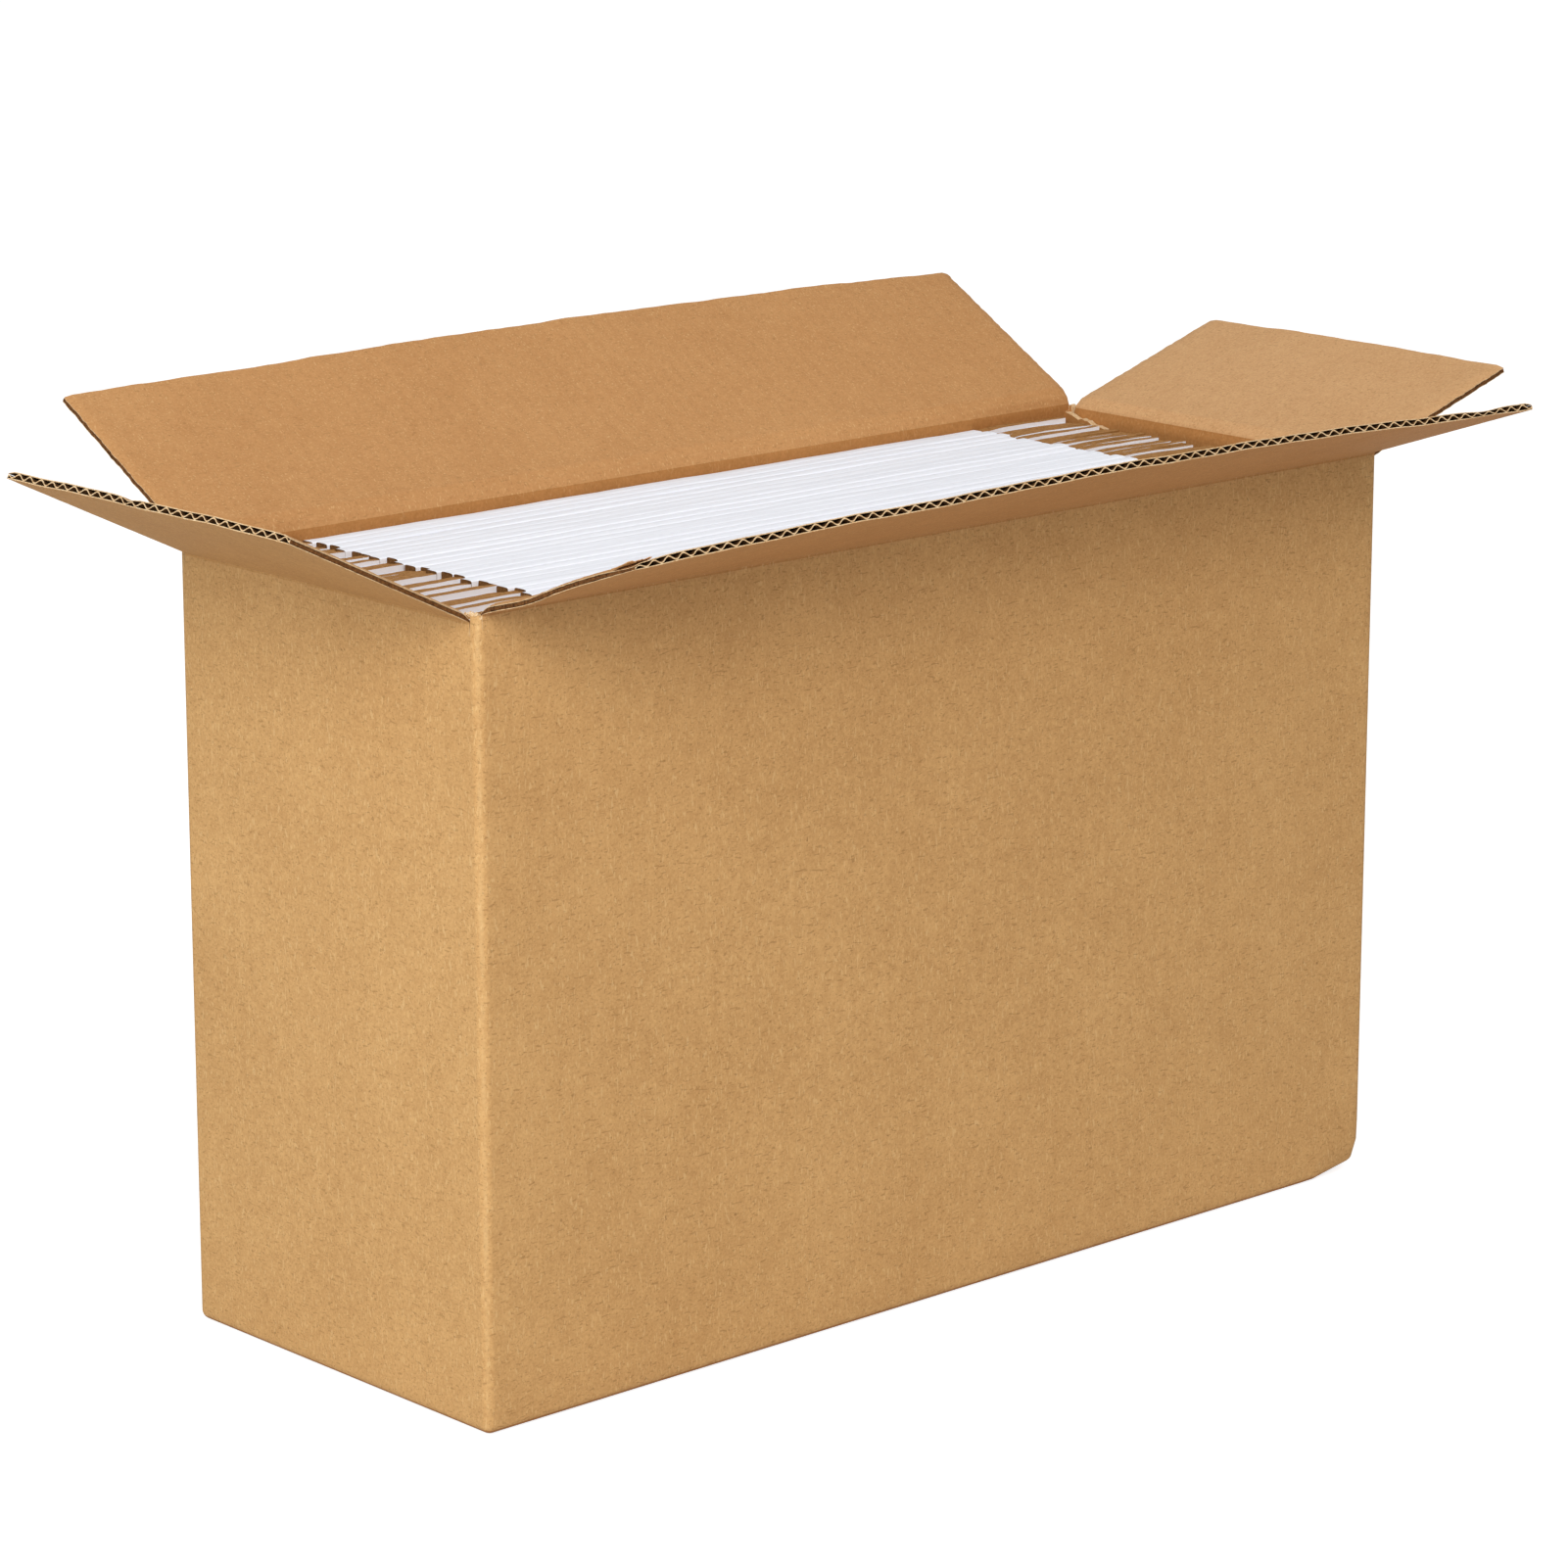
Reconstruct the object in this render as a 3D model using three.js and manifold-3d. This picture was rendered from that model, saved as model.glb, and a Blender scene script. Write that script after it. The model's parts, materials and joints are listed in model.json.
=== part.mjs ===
// An open shipping box of single-wall corrugated board, packed with flat folded white cartons.
// Millimetres. +X runs along the long side, the front is at -Y and +Z is up.
// The origin is on the underside, at the middle of the base.
import * as THREE from 'three';
import { mergeVertices } from 'three/addons/utils/BufferGeometryUtils.js';
import Module from 'manifold-3d';

// Corrugated board: two liners on a wavy medium
const BOARD = 2.8;
const LINER = 0.35;
const MEDIUM = 0.35;
const FLUTE_PITCH = 6.4;
const FLUTE_SLOPE_RUN = 1.8;

// The box outside, with its lid flaps shut
const BOX_LENGTH = 440;
const BOX_WIDTH = 164;
const BOX_HEIGHT = 285;
const FOLD_RADIUS_OUT = 3.5;
const FOLD_RADIUS_IN = 1;

// The glued lap at the back right corner
const LAP_WIDTH = 22;
const LAP_TAPER = 4;
const LAP_END_MARGIN = 6;
const RAW_EDGE_SETBACK = 0.8;
const LAP_FOLD_RADIUS = 2;

// Creases: the fold line lies just under the outside liner
const CREASE_DEPTH = 0.5;
const CREASE_GAP = 0.36;
const CREASE_TIP = 0.05;
const CREASE_SWELL = 3;
const FLAP_STACK_GAP = 0.3;

// Lid flaps, each opened outwards from the shut position
const MAJOR_SLOT = 2.2;
const MINOR_SIDE_CLEARANCE = 0.5;
const FLAP_SEAM = 1;
const FLUTE_ROOT = 6;
const FRONT_FLAP_DEGREES = 19;
const BACK_FLAP_DEGREES = 30;
const LEFT_FLAP_DEGREES = 26;
const RIGHT_FLAP_DEGREES = 17.5;

// The glued floor: its seam lies just off the middle
const SEAM_OFFSET = 1.2;
const FLOOR_SEAM = 1;

// Flat folded cartons standing on their folds
const CARTON_BOARD = 2.8;
const CARTON_SLIT = 0.4;
const CARTON_FOLD_RADIUS = 1.6;
const CARTON_GAP = 0.3;
const CARTON_TOP_CLEARANCE = 0.3;
const CARTON_UNEVEN = 0.9;
const CARTON_SHIFT = 1.6;
const LEFT_END_GAP = 4.4;
const RIGHT_END_GAP = 7.4;
const CARTON_FLAP = 46;
const CARTON_SLOT_DEPTH = 3.9;
const CARTON_PANEL = 91;
const CARTON_PANEL_SLOT = 5;

const HALF_LENGTH = BOX_LENGTH / 2;
const HALF_WIDTH = BOX_WIDTH / 2;
const MAJOR_AXIS_HEIGHT = BOX_HEIGHT - CREASE_DEPTH;
const MINOR_AXIS_HEIGHT = MAJOR_AXIS_HEIGHT - BOARD - FLAP_STACK_GAP;
const FLAP_REACH = HALF_WIDTH - CREASE_DEPTH - FLAP_SEAM / 2;
const ARC_STEPS = 4;
const SPILL = 1;

const wasm = await Module();
wasm.setup();

// A closed three.js geometry as a solid that can be joined and cut
function solidOf(geometry) {
  const bare = geometry.clone();
  bare.deleteAttribute('normal');
  bare.deleteAttribute('uv');
  const merged = mergeVertices(bare, 1e-5);
  return new wasm.Manifold(new wasm.Mesh({
    numProp: 3,
    vertProperties: new Float32Array(merged.attributes.position.array),
    triVerts: new Uint32Array(merged.index.array),
  }));
}

function geometryOf(solid) {
  const mesh = solid.getMesh();
  const geometry = new THREE.BufferGeometry();
  geometry.setAttribute('position', new THREE.BufferAttribute(mesh.vertProperties, 3));
  geometry.setIndex(new THREE.BufferAttribute(mesh.triVerts, 1));
  geometry.computeVertexNormals();
  return geometry;
}

// An outline carried straight for a length. The plane names the axes that the outline is drawn in,
// and the carried length starts at the given station on the third axis.
const PLANES = {
  xy: [[1, 0, 0], [0, 1, 0], [0, 0, 1]],
  yz: [[0, 1, 0], [0, 0, 1], [1, 0, 0]],
  zx: [[0, 0, 1], [1, 0, 0], [0, 1, 0]],
};

function prism(plane, outline, start, length, holes = []) {
  const shape = new THREE.Shape(outline.map(([u, v]) => new THREE.Vector2(u, v)));
  for (const hole of holes) {
    shape.holes.push(new THREE.Path(hole.map(([u, v]) => new THREE.Vector2(u, v))));
  }
  const geometry = new THREE.ExtrudeGeometry(shape, { depth: length, bevelEnabled: false });
  const [u, v, w] = PLANES[plane].map((axis) => new THREE.Vector3(...axis));
  geometry.applyMatrix4(new THREE.Matrix4().makeBasis(u, v, w).setPosition(w.clone().multiplyScalar(start)));
  return solidOf(geometry);
}

function block(low, high) {
  const size = high.map((value, i) => value - low[i]);
  const centre = high.map((value, i) => (value + low[i]) / 2);
  const geometry = new THREE.BoxGeometry(...size);
  geometry.translate(...centre);
  return solidOf(geometry);
}

// Points of a quarter turn about a centre, from one angle to another in degrees
function arc(cx, cy, radius, from, to) {
  const points = [];
  for (let i = 0; i <= ARC_STEPS; i += 1) {
    const angle = THREE.MathUtils.degToRad(from + ((to - from) * i) / ARC_STEPS);
    points.push([cx + radius * Math.cos(angle), cy + radius * Math.sin(angle)]);
  }
  return points;
}

function roundedRectangle(halfX, halfY, radius) {
  return [
    ...arc(halfX - radius, halfY - radius, radius, 0, 90),
    ...arc(-halfX + radius, halfY - radius, radius, 90, 180),
    ...arc(-halfX + radius, -halfY + radius, radius, 180, 270),
    ...arc(halfX - radius, -halfY + radius, radius, 270, 360),
  ];
}

// The wall ring in plan. At the back right corner the right panel ends in a raw edge,
// and the back panel's fold turns in beside it.
function wallOutline() {
  const r = FOLD_RADIUS_OUT;
  const lapFace = HALF_LENGTH - BOARD;
  return [
    [HALF_LENGTH, HALF_WIDTH - RAW_EDGE_SETBACK],
    [lapFace, HALF_WIDTH - RAW_EDGE_SETBACK],
    [lapFace, HALF_WIDTH - LAP_FOLD_RADIUS],
    ...arc(lapFace - LAP_FOLD_RADIUS - CREASE_TIP, HALF_WIDTH - LAP_FOLD_RADIUS, LAP_FOLD_RADIUS, 0, 90),
    ...arc(-HALF_LENGTH + r, HALF_WIDTH - r, r, 90, 180),
    ...arc(-HALF_LENGTH + r, -HALF_WIDTH + r, r, 180, 270),
    ...arc(HALF_LENGTH - r, -HALF_WIDTH + r, r, 270, 360),
  ];
}

// What is cut away above a crease. Depth counts inwards from the outside face,
// height counts from the fold line; both flanks of the ridge slope away from it.
function creaseCut(inner) {
  const ridge = -CREASE_GAP;
  return [
    [-SPILL, ridge - CREASE_SWELL],
    [0, ridge - CREASE_SWELL],
    [CREASE_DEPTH - CREASE_TIP, ridge],
    [CREASE_DEPTH + CREASE_TIP, ridge],
    [BOARD, ridge - (BOARD - CREASE_DEPTH - CREASE_TIP)],
    [inner, ridge - (BOARD - CREASE_DEPTH - CREASE_TIP)],
    [inner, 4 * BOARD],
    [-SPILL, 4 * BOARD],
  ];
}

function cartonBody() {
  const top = BOX_HEIGHT + BOARD;
  const inside = roundedRectangle(HALF_LENGTH - BOARD, HALF_WIDTH - BOARD, FOLD_RADIUS_IN);
  let body = prism('xy', wallOutline(), 0, top, [inside]);

  const lapRight = HALF_LENGTH - BOARD;
  const lapBack = HALF_WIDTH - BOARD;
  const lapLow = 2 * BOARD;
  const lapHigh = MINOR_AXIS_HEIGHT - BOARD - LAP_END_MARGIN / 2;
  const lapShape = [
    [lapBack + CREASE_TIP, lapLow],
    [lapBack + CREASE_TIP, lapHigh],
    [lapBack - LAP_WIDTH, lapHigh - LAP_TAPER],
    [lapBack - LAP_WIDTH, lapLow + LAP_TAPER],
  ];
  body = body.add(prism('yz', lapShape, lapRight - BOARD, BOARD + CREASE_TIP));

  // Floor: the short flaps lie on the long ones
  const shortReach = FLAP_REACH + CREASE_DEPTH;
  const seamFront = SEAM_OFFSET - FLOOR_SEAM / 2;
  const seamBack = SEAM_OFFSET + FLOOR_SEAM / 2;
  const wallX = HALF_LENGTH - BOARD + CREASE_TIP;
  const wallY = HALF_WIDTH - BOARD + CREASE_TIP;
  body = body.add(block([-wallX, -wallY, 0], [wallX, seamFront, BOARD]));
  body = body.add(block([-wallX, seamBack, 0], [wallX, wallY, BOARD]));
  for (const side of [-1, 1]) {
    const ends = [side * wallX, side * (HALF_LENGTH - shortReach)].sort((a, b) => a - b);
    body = body.add(block([ends[0], -wallY, BOARD], [ends[1], wallY, 2 * BOARD]));
  }

  // Rounded folds along the bottom: low on the long sides, one board higher at the ends
  const r = FOLD_RADIUS_OUT;
  const sideways = [
    [HALF_WIDTH, top],
    [-HALF_WIDTH, top],
    ...arc(-HALF_WIDTH + r, r, r, 180, 270),
    ...arc(HALF_WIDTH - r, r, r, 270, 360),
  ];
  body = body.intersect(prism('yz', sideways, -HALF_LENGTH, BOX_LENGTH));
  const lengthways = [
    [top, HALF_LENGTH],
    ...arc(BOARD + r, HALF_LENGTH - r, r, 90, 180),
    [0, HALF_LENGTH - r],
    [0, -HALF_LENGTH + r],
    ...arc(BOARD + r, -HALF_LENGTH + r, r, 180, 270),
    [top, -HALF_LENGTH],
  ];
  body = body.intersect(prism('zx', lengthways, -HALF_WIDTH, BOX_WIDTH));

  // Creases at the top: the long sides and the corners first, then one board lower at the ends
  for (const side of [-1, 1]) {
    const long = creaseCut(r + CREASE_TIP).map(([depth, height]) => {
      return [side * (HALF_WIDTH - depth), MAJOR_AXIS_HEIGHT + height];
    });
    body = body.subtract(prism('yz', long, -HALF_LENGTH - SPILL, BOX_LENGTH + 2 * SPILL));
    const short = creaseCut(r + SPILL).map(([depth, height]) => {
      return [MINOR_AXIS_HEIGHT + height, side * (HALF_LENGTH - depth)];
    });
    body = body.subtract(prism('zx', short, -HALF_WIDTH + r, BOX_WIDTH - 2 * r));
  }
  return body;
}

// A lid flap drawn shut, hinged on the X axis and reaching along +Y with its outside face up.
// The flutes run away from the crease and stay open at the cut edge.
function lidFlap(halfWidth) {
  const outside = CREASE_DEPTH;
  const inside = CREASE_DEPTH - BOARD;
  const root = [
    [CREASE_GAP, CREASE_TIP],
    [CREASE_GAP, -CREASE_TIP],
    [CREASE_GAP + BOARD - CREASE_DEPTH - CREASE_TIP, inside],
    [FLUTE_ROOT, inside],
    [FLUTE_ROOT, outside],
    [CREASE_GAP + CREASE_SWELL, outside],
  ];
  const bar = prism('yz', root, -halfWidth, 2 * halfWidth);

  const core = BOARD - 2 * LINER;
  const rise = core - MEDIUM;
  const slope = Math.hypot(FLUTE_SLOPE_RUN, rise);
  const inset = (MEDIUM * (slope - FLUTE_SLOPE_RUN)) / (2 * rise);
  const wide = FLUTE_PITCH / 4 + FLUTE_SLOPE_RUN / 2 - inset;
  const narrow = FLUTE_PITCH / 4 - FLUTE_SLOPE_RUN / 2 - inset;
  const flutes = Math.floor((2 * halfWidth) / FLUTE_PITCH - 0.5);
  const channels = [];
  for (let i = 0; i < 2 * flutes; i += 1) {
    const centre = (i - flutes + 0.5) * (FLUTE_PITCH / 2);
    const up = i % 2 === 0;
    const wideLevel = up ? outside - LINER : inside + LINER;
    const narrowLevel = up ? wideLevel - rise : wideLevel + rise;
    channels.push([
      [wideLevel, centre - wide],
      [wideLevel, centre + wide],
      [narrowLevel, centre + narrow],
      [narrowLevel, centre - narrow],
    ]);
  }
  const slab = [
    [inside, -halfWidth],
    [outside, -halfWidth],
    [outside, halfWidth],
    [inside, halfWidth],
  ];
  const fluted = prism('zx', slab, FLUTE_ROOT, FLAP_REACH - FLUTE_ROOT, channels);
  return bar.add(fluted);
}

// A carton folded flat: two boards joined by a fold at the top and the bottom,
// with slots at both ends where its own flaps part.
function flatCarton(height, topStep) {
  const half = CARTON_BOARD + CARTON_SLIT / 2;
  const high = height - topStep;
  const middle = high / 2;
  const outline = roundedRectangle(half, middle, CARTON_FOLD_RADIUS).map(([y, z]) => [y, z + middle]);
  const slit = [
    [-CARTON_SLIT / 2, CARTON_BOARD],
    [CARTON_SLIT / 2, CARTON_BOARD],
    [CARTON_SLIT / 2, high - CARTON_BOARD],
    [-CARTON_SLIT / 2, high - CARTON_BOARD],
  ];
  const length = BOX_LENGTH - 2 * BOARD - LEFT_END_GAP - RIGHT_END_GAP;
  let carton = prism('yz', outline, -length / 2, length, [slit]);
  for (const side of [-1, 1]) {
    const inner = side * (length / 2 - CARTON_FLAP);
    const outer = side * (length / 2 + SPILL);
    const low = Math.min(inner, outer);
    const far = Math.max(inner, outer);
    const cut = (y0, y1, z0, z1) => {
      carton = carton.subtract(block([low, y0, z0], [far, y1, z1]));
    };
    cut(-half - SPILL, half + SPILL, high - CARTON_SLOT_DEPTH, high + SPILL);
    cut(-half - SPILL, half + SPILL, -SPILL, CARTON_SLOT_DEPTH);
    const slot = CARTON_PANEL_SLOT / 2;
    cut(-half - SPILL, 0, high - CARTON_PANEL - slot, high - CARTON_PANEL + slot);
    cut(0, half + SPILL, CARTON_PANEL - slot, CARTON_PANEL + slot);
  }
  return carton;
}

function finish(color, roughness) {
  return new THREE.MeshStandardMaterial({ color, roughness, metalness: 0 });
}

function addMesh(parent, name, solid, material) {
  const mesh = new THREE.Mesh(geometryOf(solid), material);
  mesh.name = name;
  parent.add(mesh);
  return mesh;
}

const box = new THREE.Group();
addMesh(box, 'carton_body', cartonBody(), finish(0xc59965, 0.85));

const majorHalf = HALF_LENGTH - MAJOR_SLOT;
const minorHalf = HALF_WIDTH - Math.max(BOARD, FOLD_RADIUS_OUT) - MINOR_SIDE_CLEARANCE;
const longFlap = lidFlap(majorHalf);
const shortFlap = lidFlap(minorHalf);
const LID = [
  { name: 'front_flap', solid: longFlap, turn: 0, x: 0, y: -HALF_WIDTH, rise: FRONT_FLAP_DEGREES },
  { name: 'back_flap', solid: longFlap, turn: 180, x: 0, y: HALF_WIDTH, rise: BACK_FLAP_DEGREES },
  { name: 'left_flap', solid: shortFlap, turn: -90, x: -HALF_LENGTH, y: 0, rise: LEFT_FLAP_DEGREES },
  { name: 'right_flap', solid: shortFlap, turn: 90, x: HALF_LENGTH, y: 0, rise: RIGHT_FLAP_DEGREES },
];
for (const { name, solid, turn, x, y, rise } of LID) {
  const hinge = new THREE.Group();
  const level = x === 0 ? MAJOR_AXIS_HEIGHT : MINOR_AXIS_HEIGHT;
  hinge.position.set(x - Math.sign(x) * CREASE_DEPTH, y - Math.sign(y) * CREASE_DEPTH, level);
  hinge.rotation.z = THREE.MathUtils.degToRad(turn);
  const opened = new THREE.Group();
  opened.rotation.x = THREE.MathUtils.degToRad(180 - rise);
  hinge.add(opened);
  addMesh(opened, name, solid, finish(0xc18d5b, 0.85));
  box.add(hinge);
}

// The flat cartons fill the inside width, a little apart, and end below the shut lid
const insideWidth = BOX_WIDTH - 2 * BOARD;
const cartonThickness = 2 * CARTON_BOARD + CARTON_SLIT;
const cartonCount = Math.floor((insideWidth - CARTON_GAP) / (cartonThickness + CARTON_GAP));
const cartonPitch = insideWidth / cartonCount;
const cartonFloor = 2 * BOARD;
const cartonHeight = MINOR_AXIS_HEIGHT + CREASE_DEPTH - BOARD - CARTON_TOP_CLEARANCE - cartonFloor;
const cartonMiddle = (LEFT_END_GAP - RIGHT_END_GAP) / 2;
for (let i = 0; i < cartonCount; i += 1) {
  const number = String(i + 1).padStart(2, '0');
  const step = (CARTON_UNEVEN * (1 + Math.sin(5.1 * i))) / 2;
  const shift = CARTON_SHIFT * Math.sin(2.3 * i + 0.4);
  const carton = addMesh(box, `flat_carton_${number}`, flatCarton(cartonHeight, step), finish(0xebecef, 0.6));
  carton.position.set(cartonMiddle + shift, (i + 0.5) * cartonPitch - insideWidth / 2, cartonFloor);
}

export default box;
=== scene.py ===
import json
import math
import bpy
import numpy as np
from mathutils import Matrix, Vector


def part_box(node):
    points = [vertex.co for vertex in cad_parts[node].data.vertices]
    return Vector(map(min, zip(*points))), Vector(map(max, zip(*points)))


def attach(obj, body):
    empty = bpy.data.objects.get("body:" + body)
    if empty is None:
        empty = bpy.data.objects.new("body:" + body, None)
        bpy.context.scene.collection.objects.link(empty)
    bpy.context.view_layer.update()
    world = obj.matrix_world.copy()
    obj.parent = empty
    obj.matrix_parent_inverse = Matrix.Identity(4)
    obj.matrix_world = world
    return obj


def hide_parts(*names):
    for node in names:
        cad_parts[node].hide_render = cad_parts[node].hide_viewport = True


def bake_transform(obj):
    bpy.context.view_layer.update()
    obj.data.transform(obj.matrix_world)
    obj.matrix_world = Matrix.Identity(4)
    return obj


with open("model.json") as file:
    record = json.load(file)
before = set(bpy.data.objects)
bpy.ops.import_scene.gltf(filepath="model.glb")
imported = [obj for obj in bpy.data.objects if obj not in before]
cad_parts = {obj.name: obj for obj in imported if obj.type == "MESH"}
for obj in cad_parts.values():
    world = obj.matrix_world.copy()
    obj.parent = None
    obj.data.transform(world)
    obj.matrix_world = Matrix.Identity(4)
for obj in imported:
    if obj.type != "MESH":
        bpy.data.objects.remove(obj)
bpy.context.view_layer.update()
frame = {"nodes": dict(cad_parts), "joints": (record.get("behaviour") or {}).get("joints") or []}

# Studio. The box stands on a plain white sheet of paper board, under a white tent with large soft lamps,
# the strongest at the left. The camera stands left of the front and looks slightly down on the box.
CAMERA_PLACE = (-1.3122, -1.4273, 0.6538)
CAMERA_TURN = 42.38
CAMERA_TILT = 13.84
CAMERA_LENS = 124.7
TENT_STRENGTH = 0.38
FLOOR_HALF = 20.0
FLOOR_DROP = 0.0002
FLOOR_GLOW = 0.8
LAMP_AIM = (0, 0, 0.2)


def linear(code):
    """A colour as four linear values, from its sRGB hex code."""
    parts = [int(code[i:i + 2], 16) / 255 for i in (1, 3, 5)]
    return [c / 12.92 if c <= 0.04045 else ((c + 0.055) / 1.055) ** 2.4 for c in parts] + [1.0]


def add(tree, kind, settings=None, **links):
    """A new node: each setting is a socket's value or the node's own property, each link feeds a socket,
    which is named with _ for a space, or numbered after a leading _."""
    made = tree.nodes.new(kind)
    for key, value in (settings or {}).items():
        if isinstance(key, int) or key in made.inputs:
            made.inputs[key].default_value = value
        else:
            setattr(made, key, value)
    for key, source in links.items():
        target = made.inputs[int(key[1:])] if key[0] == "_" else made.inputs[key.replace("_", " ")]
        tree.links.new(source, target)
    return made


def new_material(name):
    """An empty material with its node tree and its output node."""
    material = bpy.data.materials.new(name)
    material.use_nodes = True
    tree = material.node_tree
    tree.nodes.clear()
    return material, tree, tree.nodes.new("ShaderNodeOutputMaterial")


camera_data = bpy.data.cameras.new("studio_camera")
camera_data.sensor_width = 36
camera_data.lens = CAMERA_LENS
camera = bpy.data.objects.new("studio_camera", camera_data)
camera.location = CAMERA_PLACE
camera.rotation_euler = [math.radians(a) for a in (90 - CAMERA_TILT, 0, -CAMERA_TURN)]
bpy.context.scene.collection.objects.link(camera)
bpy.context.scene.camera = camera
bpy.context.scene.view_settings.view_transform = "Standard"

# The tent is full white where the camera or a gloss sees it, and dimmer as a light
world = bpy.data.worlds.new("white_tent")
bpy.context.scene.world = world
world.use_nodes = True
sky = world.node_tree
sky.nodes.clear()
rays = add(sky, "ShaderNodeLightPath")
tent = add(sky, "ShaderNodeBackground", {"Color": (1, 1, 1, 1), "Strength": TENT_STRENGTH})
seen = add(sky, "ShaderNodeBackground", {"Color": (1, 1, 1, 1), "Strength": 1.0})
either = add(sky, "ShaderNodeMath", {"operation": "MAXIMUM"}, _0=rays.outputs["Is Camera Ray"],
             _1=rays.outputs["Is Glossy Ray"])
picked = add(sky, "ShaderNodeMixShader", None, _0=either.outputs[0], _1=tent.outputs[0],
             _2=seen.outputs[0])
add(sky, "ShaderNodeOutputWorld", None, Surface=picked.outputs[0])

# Matt white paper: it glows a little to the camera, so that it meets the white tent, and keeps the shadow
sheet_material, tree, output = new_material("white_paper_sweep")
rays = add(tree, "ShaderNodeLightPath")
plain = add(tree, "ShaderNodeBsdfDiffuse", {"Color": linear("#cccccc")})
half = add(tree, "ShaderNodeBsdfDiffuse", {"Color": linear("#c0c0c0")})
glow = add(tree, "ShaderNodeEmission", {"Color": (1, 1, 1, 1), "Strength": FLOOR_GLOW})
bright = add(tree, "ShaderNodeAddShader", None, _0=half.outputs[0], _1=glow.outputs[0])
either = add(tree, "ShaderNodeMath", {"operation": "MAXIMUM"}, _0=rays.outputs["Is Camera Ray"],
             _1=rays.outputs["Is Glossy Ray"])
picked = add(tree, "ShaderNodeMixShader", None, _0=either.outputs[0], _1=plain.outputs[0],
             _2=bright.outputs[0])
tree.links.new(picked.outputs[0], output.inputs["Surface"])

floor_corners = [(x * FLOOR_HALF, y * FLOOR_HALF, -FLOOR_DROP)
                 for x, y in ((-1, -1), (1, -1), (1, 1), (-1, 1))]
floor_mesh = bpy.data.meshes.new("studio_floor")
floor_mesh.from_pydata(floor_corners, [], [(0, 1, 2, 3)])
floor_mesh.materials.append(sheet_material)
floor = bpy.data.objects.new("studio_floor", floor_mesh)
bpy.context.scene.collection.objects.link(floor)

for name, place, size, power, tint in (
    ("left_softbox", (-2.6, -1.4, 1.9), 1.8, 61, "#f6fbff"),
    ("front_softbox", (-1.6, -2.6, 1.9), 1.6, 33, "#ffedde"),
    ("low_softbox", (-2.6, -1.2, 0.5), 1.6, 13, "#ffffff"),
    ("top_softbox", (0.3, -0.4, 2.7), 1.8, 11, "#f6faff"),
):
    lamp = bpy.data.lights.new(name, "AREA")
    lamp.shape = "DISK"
    lamp.size = size
    lamp.energy = power
    lamp.color = linear(tint)[:3]
    lamp_object = bpy.data.objects.new(name, lamp)
    lamp_object.location = place
    aim = np.array(LAMP_AIM) - np.array(place)
    lamp_object.rotation_euler = (math.atan2(math.hypot(aim[0], aim[1]), -aim[2]), 0,
                                  math.atan2(-aim[0], aim[1]))
    bpy.context.scene.collection.objects.link(lamp_object)

# Box walls. One blank of brown single-wall board, creased and folded into a ring of four panels. Each
# upright fold is rounded and its outside paper is rubbed pale. The walls turn in under the box at the foot,
# where the bottom flaps are creased. Sizes are in millimetres from here on, and materials' in metres.
MM = 0.001
HALF_LENGTH, HALF_WIDTH = [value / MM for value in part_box("carton_body")[1]][:2]
FULL_HEIGHT = 285.0
BOARD = 2.8
FLUTE_PITCH = 6.4
FOLD_RADIUS = 3.5
BULGE = 0.9
# The lid flaps' own pieces begin this far below their creases, so the wall ends there
CREASE_BELOW = 5.0
# The long flaps take the wall's top round the fold by so many degrees, the short ones this share of the flat
LONG_STRIP_TURN = 22
SHORT_STRIP_SHARE = 0.996
# Between the flaps the folds end in torn tops, a little below the crease and lower at the glued corner
COLUMN_DROP = 1.4
GLUED_COLUMN_DROP = 2.0
COLUMN_TEAR = 0.5
# How far the walls turn in under the box past their rounded foot
UNDERTURN = 2.0
# The groove at the glued corner: its depth, and its place and width in degrees round the fold
GROOVE_DEPTH, GROOVE_AT, GROOVE_WIDTH = 1.1, 14, 5
# The dent at the far lower corner: its reach along and up the walls, and how far it pushes in and up
DENT_REACH, DENT_HEIGHT, DENT_PUSH, DENT_LIFT = 26, 16, (3.0, -2.0), 3.0
# The rubbed folds: where on the round the rubbing starts and how fast it grows, its share and unevenness
RUB_FROM, RUB_RISE = 0.4, 0.28
RUB, RUB_SPREAD, RUB_LENGTH = 0.16, 0.08, 9
# Torn fibres at the nearest fold, and the height they stand up from
STRANDS = 26
STRAND_ROOT = 282.4
hinges = {joint["child"]: joint for joint in frame["joints"]}
hinge_place = {child: np.array(joint["pos_m"]) / MM for child, joint in hinges.items()}
long_top = hinge_place["front_flap"][2] - CREASE_BELOW
short_top = hinge_place["left_flap"][2] - CREASE_BELOW


def smooth(x):
    """0 below 0, 1 above 1, and a smooth rise between them: three x squared less two x cubed."""
    x = np.clip(x, 0, 1)
    return x * x * (3 - 2 * x)


def ripple(x, seed, count=6, first=1.0):
    """A smooth uneven line: half the sum of sines, each twice as fine and two thirds as high as the last."""
    draw = np.random.default_rng(seed)
    total = np.zeros_like(np.asarray(x, float))
    for i in range(count):
        total += (2 / 3) ** i * np.sin(first * 2 ** i * np.asarray(x, float) * (1 + 0.2 * draw.random())
                                       + draw.random() * 2 * math.pi)
    return total / 2


def grid_faces(rows, columns, close_rows=False, close_columns=False):
    """Four corner indices of each cell of a grid, which may close on itself either way."""
    i = np.arange(rows if close_rows else rows - 1)[:, None]
    j = np.arange(columns if close_columns else columns - 1)[None, :]
    i2, j2 = (i + 1) % rows, (j + 1) % columns
    corners = [i * columns + j, i * columns + j2, i2 * columns + j2, i2 * columns + j]
    return np.stack(corners, -1).reshape(-1, 4)


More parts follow.
